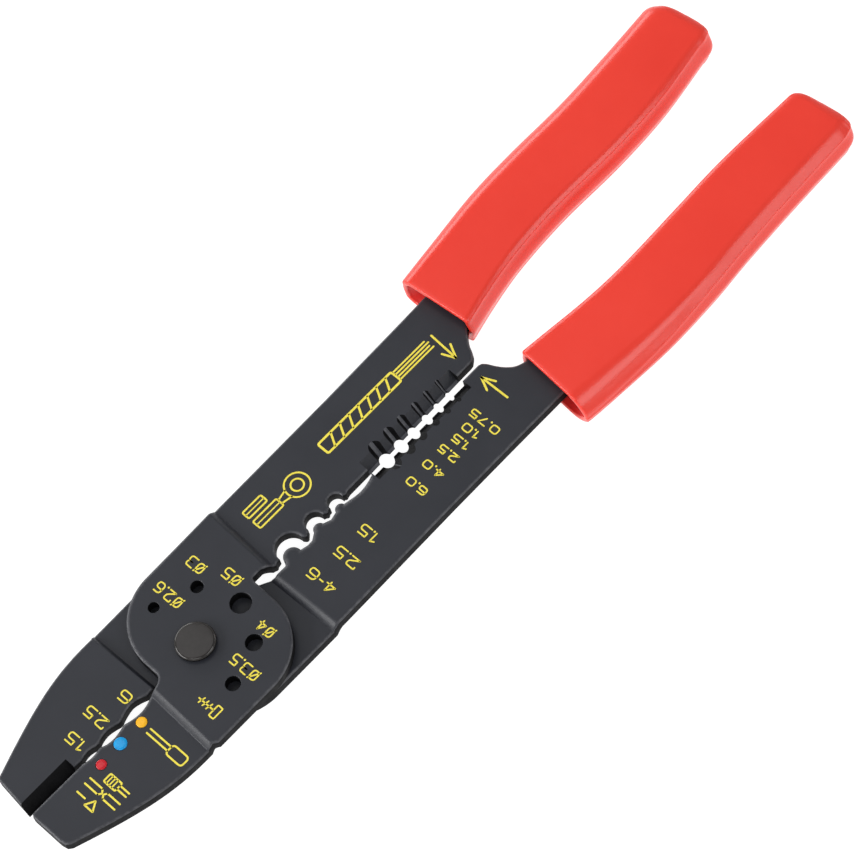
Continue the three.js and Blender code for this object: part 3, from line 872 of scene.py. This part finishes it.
def front_marks():
    """Everything printed on the front plate: nose jaw signs, screw sizes, and the left arm's signs and arrow."""
    bm = bmesh.new()
    top = PIVOT_FACE
    for size in SCREW_SIZES:
        label(bm, *size, top)
    # a screw beside the screw holes
    stroke(bm, [(15.4, -7.0), (14.0, -7.0), (14.0, -10.0), (15.4, -10.0)], top, 0.36, closed=True)
    stroke(bm, [(13.9, -8.5), (9.6, -8.5)], top, 0.36)
    for k in range(3):
        stroke(bm, [(12.9 - k * 1.15, -7.7), (12.5 - k * 1.15, -9.3)], top, 0.34)
    # closed-end splice beside the yellow dot
    stroke(bm, [(17.2, -19.4), (12.4, -19.4), (12.4, -22.0), (17.2, -22.0)], FACE, closed=True, radius=0.9)
    stroke(bm, [(12.4, -20.1), (6.0, -20.1)], FACE)
    stroke(bm, [(12.4, -21.3), (6.0, -21.3)], FACE)
    # insulated terminal, then a wire under a cutting wedge
    stroke(bm, [(6.8, -32.9), (10.3, -32.9), (10.3, -35.1), (6.8, -35.1)], FACE, closed=True)
    stroke(bm, [(10.3, -33.5), (13.1, -33.5)], FACE)
    stroke(bm, [(10.3, -34.5), (13.1, -34.5)], FACE)
    for k in range(3):
        stroke(bm, [(7.6 + k * 0.8, -33.0), (7.6 + k * 0.8, -35.0)], FACE, 0.32)
    stroke(bm, [(4.1, -36.5), (8.0, -36.5)], FACE)
    stroke(bm, [(4.1, -38.1), (8.0, -38.1)], FACE)
    stroke(bm, [(9.6, -36.5), (13.3, -36.5)], FACE)
    stroke(bm, [(9.6, -38.1), (13.3, -38.1)], FACE)
    stroke(bm, [(8.0, -36.5), (8.6, -37.3), (8.0, -38.1)], FACE, radius=0.1)
    stroke(bm, [(9.6, -36.5), (9.0, -37.3), (9.6, -38.1)], FACE, radius=0.1)
    stroke(bm, [(7.5, -41.6), (8.8, -39.4), (10.1, -41.6)], FACE, closed=True, radius=0.15)
    stroke(bm, [(4.2, -40.5), (6.6, -40.5)], FACE)
    # bare ring terminal beside the bare-terminal notches
    stroke(bm, [(-9.3, 28.7), (-9.3, 36.0), (-11.7, 36.0), (-11.7, 28.7)], FACE, closed=True, radius=0.4)
    stroke(bm, [(-10.5, 28.9), (-10.5, 35.8)], FACE, 0.3)
    stroke(bm, [(-9.9, 36.2), (-9.4, 38.6)], FACE)
    stroke(bm, [(-11.1, 36.2), (-11.6, 38.6)], FACE)
    for radius, end, steps in ((3.0, 354, 36), (1.5, 348, 28)):
        ribbon(bm, arc(-10.5, 41.4, radius, 0, end, steps), 0.42, FACE, closed=True)
    stroke(bm, [(-12.9, 28.7), (-12.9, 34.4), (-15.0, 34.4), (-15.0, 28.7)], FACE, closed=True, radius=0.4)
    stroke(bm, [(-13.95, 28.9), (-13.95, 34.2)], FACE, 0.3)
    # a wire with its jacket cut back, along the stripping edge
    stroke(bm, [(-10.6, 51.3), (-10.6, 74.5), (-13.9, 74.5), (-13.9, 51.3)], FACE, 0.55, closed=True, radius=0.5)
    for k in range(7):
        y = 53.6 + 2.9 * k
        stroke(bm, [(-10.8, y), (-13.7, y + 1.6)], FACE, 0.5)
    for k in range(4):
        x = -11.0 - 0.82 * k
        stroke(bm, [(x, 74.8), (x, 85.2 - 0.5 * (k % 2))], FACE)
    # arrow to the stripping notches
    stroke(bm, [(-13.25, 86.8), (-5.1, 86.3)], FACE, 0.5)
    stroke(bm, [(-8.5, 88.0), (-5.1, 86.3), (-8.25, 85.0)], FACE, 0.5, radius=0.05)
    return new_object("front_printed_marks", bm)


def back_marks():
    """Everything printed on the back plate: stripping and crimping sizes, and the right arm's arrow."""
    bm = bmesh.new()
    for size in WIRE_SIZES:
        label(bm, *size, FACE)
    stroke(bm, [(10.4, 86.5), (2.5, 86.4)], FACE, 0.5)
    stroke(bm, [(5.7, 87.75), (2.5, 86.4), (5.7, 84.9)], FACE, 0.5, radius=0.05)
    return new_object("back_printed_marks", bm)


# ---------- materials ----------
def feed(links, node, inputs):
    """Links each input to another node's output, or sets it to a plain value."""
    for name, value in inputs.items():
        if isinstance(value, bpy.types.NodeSocket):
            links.new(value, node.inputs[name])
        else:
            node.inputs[name].default_value = value
    return node


class Finish:
    """A material being made: its nodes and links, its shader, and the object's coordinates."""

    def __init__(self, name):
        self.material = bpy.data.materials.new(name)
        self.material.use_nodes = True
        self.nodes = self.material.node_tree.nodes
        self.links = self.material.node_tree.links
        self.where = self.add("TexCoord").outputs["Object"]

    def add(self, kind, **inputs):
        return feed(self.links, self.nodes.new("ShaderNode" + kind), inputs)

    def noise(self, scale, detail, where=None):
        place = self.where if where is None else where
        return self.add("TexNoise", Scale=scale, Detail=detail, Roughness=0.55, Vector=place).outputs["Fac"]

    def stretched(self, scale):
        """The coordinates, scaled along each axis."""
        return self.add("Mapping", Scale=scale, Vector=self.where).outputs["Vector"]

    def ramp(self, value, dark, light):
        """A colour that goes from dark to light over the middle of value's range."""
        made = self.add("ValToRGB", Fac=value)
        for element, at, color in zip(made.color_ramp.elements, (0.3, 0.7), (dark, light)):
            element.position = at
            element.color = (*color, 1.0)
        return made.outputs["Color"]

    def range(self, value, low, high, start=0.3, end=0.7):
        """A number that goes from low to high as value goes from start to end."""
        limits = {"From Min": start, "From Max": end, "To Min": low, "To Max": high}
        return self.add("MapRange", Value=value, **limits).outputs["Result"]

    def bump(self, height, strength, distance, **normal):
        return self.add("Bump", Strength=strength, Distance=distance, Height=height, **normal).outputs["Normal"]

    def shade(self, color, roughness, normal, **rest):
        inputs = {"Base Color": color, "Roughness": roughness, "Normal": normal, **rest}
        feed(self.links, self.nodes["Principled BSDF"], inputs)
        return self.material


def steel():
    """Blackened sheet, lighter along its rolled edges: partly rubbed wear, partly painted highlight."""
    made = Finish("blackened_steel")
    clouds, grain, pits = made.noise(90, 4), made.noise(2600, 2), made.noise(700, 3)
    color = made.ramp(clouds, (0.0172, 0.0190, 0.0255), (0.0202, 0.0220, 0.0292))
    worn_and_highlight = made.add("Attribute")
    worn_and_highlight.attribute_name = "edge_wear_and_highlight"
    rub_and_highlight = made.add("Math")
    rub_and_highlight.operation = "MULTIPLY"
    made.links.new(worn_and_highlight.outputs["Fac"], rub_and_highlight.inputs[0])
    made.links.new(made.range(pits, 0.1, 0.6, 0.35, 0.65), rub_and_highlight.inputs[1])
    # the rolled edges' lighter colour: rubbed wear and painted highlight
    mix = made.add("Mix")
    mix.data_type = "RGBA"
    feed(made.links, mix, {"Factor": rub_and_highlight.outputs[0], "A": color, "B": (0.11, 0.11, 0.12, 1)})
    fine = made.bump(grain, 0.25, 0.00003)
    return made.shade(
        mix.outputs["Result"], made.range(clouds, 0.42, 0.5), made.bump(pits, 0.15, 0.00006, Normal=fine)
    )


def painted_shade_steel():
    """The blanked edges and hole walls: rough, torn along the sheet's thickness, and near-black, which is painted
    shade.
    """
    made = Finish("painted_shade_steel")
    clouds = made.noise(400, 4)
    tears = made.noise(1800, 3, made.stretched((1, 1, 0.15)))
    return made.shade(
        # near-black colour: painted shade
        made.ramp(clouds, (0.0015, 0.0015, 0.002), (0.005, 0.005, 0.006)),
        made.range(clouds, 0.55, 0.75),
        made.bump(tears, 0.4, 0.00006),
        **{"Specular IOR Level": 0.12},
    )


def ground_steel_and_highlight():
    """The floors of the stripping grooves: ground steel, lighter than the sheet, partly as painted highlight."""
    made = Finish("ground_steel_and_highlight")
    clouds = made.noise(500, 3)
    lines = made.noise(2500, 2, made.stretched((0.15, 1, 0.15)))
    return made.shade(
        # lighter colour: ground steel and painted highlight
        made.ramp(clouds, (0.050, 0.052, 0.062), (0.085, 0.088, 0.100)),
        made.range(clouds, 0.3, 0.4),
        made.bump(lines, 0.3, 0.00003),
    )


def rivet_steel():
    """Dark steel, turned smooth, with faint tool rings."""
    made = Finish("rivet_steel")
    clouds = made.noise(350, 4)
    rings = made.add("TexWave", Scale=900, Distortion=1.5, Vector=made.where)
    rings.wave_type = "RINGS"
    rings.rings_direction = "Z"
    return made.shade(
        made.ramp(clouds, (0.016, 0.014, 0.013), (0.026, 0.023, 0.022)),
        made.range(clouds, 0.12, 0.2),
        made.bump(rings.outputs["Fac"], 0.15, 0.00003),
    )


def vinyl():
    """The grips' glossy red skin, a little wavy."""
    made = Finish("red_grip_vinyl")
    clouds, skin, grain = made.noise(45, 3), made.noise(320, 3), made.noise(2200, 2)
    wavy = made.bump(clouds, 0.10, 0.0005)
    return made.shade(
        made.ramp(clouds, (0.80, 0.044, 0.027), (0.83, 0.050, 0.031)),
        made.range(skin, 0.22, 0.26),
        made.bump(grain, 0.05, 0.00002, Normal=wavy),
    )


def vinyl_lining_shade():
    """The inside of the grips: the same vinyl, unpolished, in a darker red that is painted shade."""
    made = Finish("grip_lining_painted_shade")
    clouds = made.noise(300, 3)
    return made.shade(
        made.ramp(clouds, (0.60, 0.012, 0.010), (0.68, 0.018, 0.014)),
        made.range(clouds, 0.45, 0.6),
        made.bump(clouds, 0.2, 0.0001),
        **{"Specular IOR Level": 0.2},
    )


def enamel(name, dark, light, rough=(0.08, 0.14)):
    made = Finish(name)
    clouds = made.noise(900, 3)
    return made.shade(made.ramp(clouds, dark, light), made.range(clouds, *rough), made.bump(clouds, 0.1, 0.0001))


def plain_floor():
    made = Finish("pale_floor")
    color = made.ramp(made.noise(3, 2), (0.30, 0.30, 0.30), (0.33, 0.33, 0.33))
    inputs = {"Base Color": color, "Roughness": 0.9, "Emission Color": (1, 1, 1, 1), "Emission Strength": 0.93}
    feed(made.links, made.nodes["Principled BSDF"], inputs)
    return made.material


# ---------- assembly ----------
def finish_piece(made, finish, body, nodes=(), sharp=35.0, weighted=True):
    made.data.materials.clear()
    made.data.materials.append(finish)
    shade(made, sharp, weighted)
    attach(made, body)
    if nodes:
        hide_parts(*nodes)
    return made


def lined(made, lining):
    """Gives the inside of a grip its own finish, with painted shade."""
    made.data.materials.append(lining)
    for face, flag in zip(made.data.polygons, made.data.attributes["inside"].data):
        face.material_index = flag.value


def paint_wall_shade_and_groove_highlight(made):
    """Upright faces and the cutting edges get painted shade, and the grooves' floors a ground finish with painted
    highlight.

    Only the front plate's stripping grooves show their floors; they lie past x = -0.9 and face up."""
    made.data.materials.append(WALL_SHADE)
    made.data.materials.append(GROUND_AND_HIGHLIGHT)
    for face in made.data.polygons:
        x, y, z = face.center / MM
        n = face.normal
        in_cutter = y < CUTTER_FROM + 0.1 and -3.2 < x < 0 and 0.2 < n.z < 0.9
        in_strip = STRIP_FROM - 0.1 < y < STRIP_TO + 0.1 and BACK_FACE + 0.05 < z < FACE - 0.02
        groove = in_strip and x < -0.9 and n.z > 0.3 and (abs(n.y) > 0.06 or n.z > 0.68)
        # groove floors facing the lamps get the painted highlight; upright faces, the cutter's bevel, other groove
        # faces and the ledges get painted shade
        if groove and -0.25 < n.y < 0.3:
            face.material_index = 2
        elif abs(n.z) < 0.3 or in_cutter or groove or (in_strip and -0.3 < x < 2.8):
            face.material_index = 1


STEEL = steel()
WALL_SHADE = painted_shade_steel()
GROUND_AND_HIGHLIGHT = ground_steel_and_highlight()
VINYL = vinyl()
INK = enamel("yellow_ink", (0.80, 0.66, 0.055), (0.90, 0.77, 0.09), (0.4, 0.55))

for made, body, node in ((front_plate(), "front_half", "front_plate"), (back_plate(), "back_half", "back_plate")):
    finish_piece(made, STEEL, body, [node])
    paint_wall_shade_and_groove_highlight(made)
turned = finish_piece(rivet(), rivet_steel(), "back_half", ["pivot_rivet"])
# the rivet's upright side gets painted shade
turned.data.materials.append(WALL_SHADE)
for face in turned.data.polygons:
    face.material_index = 1 if abs(face.normal.z) < 0.3 else 0
left = finish_piece(grip("left_grip_moulded", LEFT_GRIP, -1), VINYL, "front_half", ["left_grip_sleeve"])
right = finish_piece(grip("right_grip_moulded", RIGHT_GRIP, 1), VINYL, "back_half", ["right_grip_sleeve"])
LINING_SHADE = vinyl_lining_shade()
lined(left, LINING_SHADE)
lined(right, LINING_SHADE)
ENAMELS = {
    "yellow_size_dot": enamel("yellow_enamel", (0.85, 0.42, 0.01), (0.95, 0.50, 0.02)),
    "blue_size_dot": enamel("blue_enamel", (0.005, 0.25, 0.60), (0.01, 0.34, 0.72)),
    "red_size_dot": enamel("red_enamel", (0.50, 0.01, 0.02), (0.62, 0.02, 0.03)),
}
for name, x, y, radius in DOTS:
    finish_piece(dot(name, x, y, radius), ENAMELS[name], "front_half", [name])
finish_piece(front_marks(), INK, "front_half", sharp=60, weighted=False)
finish_piece(back_marks(), INK, "back_half", sharp=60, weighted=False)

# ---------- floor, light and camera ----------
FLOOR_HALF, FLOOR_THICK = 3000, 10
bm = bmesh.new()
corners = [(x * FLOOR_HALF, y * FLOOR_HALF, -FLOOR_THICK) for x, y in ((-1, -1), (1, -1), (1, 1), (-1, 1))]
extrude_section(bm, corners, (0, 0, FLOOR_THICK))
floor = new_object("floor", bm)
floor.data.materials.append(plain_floor())


def softbox(name, place, target, size, power):
    data = bpy.data.lights.new(name, "AREA")
    data.shape = "RECTANGLE"
    data.size, data.size_y = size
    data.energy = power
    made = bpy.data.objects.new(name, data)
    bpy.context.scene.collection.objects.link(made)
    made.location = Vector(place)
    aim = Vector(target) - made.location
    made.rotation_euler = aim.to_track_quat("-Z", "Y").to_euler()


TOOL_MIDDLE = (0, 0.07, 0)
# name, place, target, size and power, in metres and watts
SOFTBOXES = [
    ("key_light", (-0.55, -0.95, 0.5), TOOL_MIDDLE, (1.1, 0.55), 12.5),
    ("fill_light", (0.45, -0.75, 1.2), TOOL_MIDDLE, (0.8, 0.8), 4),
    ("right_light", (0.75, 0.35, 0.95), TOOL_MIDDLE, (0.7, 0.6), 3.8),
    ("low_right_light", (1.1, 0.55, 0.48), TOOL_MIDDLE, (0.4, 0.3), 0.9),
    ("back_light", (0.25, 1.25, 0.5), TOOL_MIDDLE, (0.5, 0.3), 1.4),
    ("left_light", (-1.2, 0.15, 0.35), TOOL_MIDDLE, (1.0, 0.4), 5),
    ("overhead_light", (-0.6, 0.0, 1.2), (-0.6, 0.0, 0), (0.7, 0.8), 1.5),
]
for box in SOFTBOXES:
    softbox(*box)

# the studio's walls fade towards its ceiling
world = bpy.data.worlds.new("studio")
world.use_nodes = True
sky, links = world.node_tree.nodes, world.node_tree.links
level = feed(links, sky.new("ShaderNodeSeparateXYZ"), {"Vector": sky.new("ShaderNodeTexCoord").outputs["Generated"]})
fade = feed(links, sky.new("ShaderNodeMapRange"), {
    "Value": level.outputs["Z"], "From Min": 0.05, "From Max": 0.8, "To Min": 0.6, "To Max": 0.22,
})
feed(links, sky["Background"], {"Strength": fade.outputs["Result"], "Color": (1, 1, 1, 1)})
bpy.context.scene.world = world

# The camera looks down at the tool, turned so that the tool's length runs to the upper right.
TOWARDS_CAMERA = Vector((0.466, -0.270, 1.0)).normalized()
CAMERA_DISTANCE = 0.9
TARGET = Vector((0.001066, 0.070275, 0.005))
along = (Vector((0, 1, 0)) - TOWARDS_CAMERA * TOWARDS_CAMERA.y).normalized()
across = along.cross(TOWARDS_CAMERA)
right, up = (across + along).normalized(), (along - across).normalized()
camera_data = bpy.data.cameras.new("camera")
camera_data.lens = 173.4
camera_data.sensor_width = 36
camera_data.clip_start = 0.01
camera_data.clip_end = 20
camera = bpy.data.objects.new("camera", camera_data)
bpy.context.scene.collection.objects.link(camera)
turn = Matrix((right, up, TOWARDS_CAMERA)).transposed().to_4x4()
camera.matrix_world = Matrix.Translation(TARGET + TOWARDS_CAMERA * CAMERA_DISTANCE) @ turn
bpy.context.scene.camera = camera
bpy.context.scene.view_settings.view_transform = "Standard"
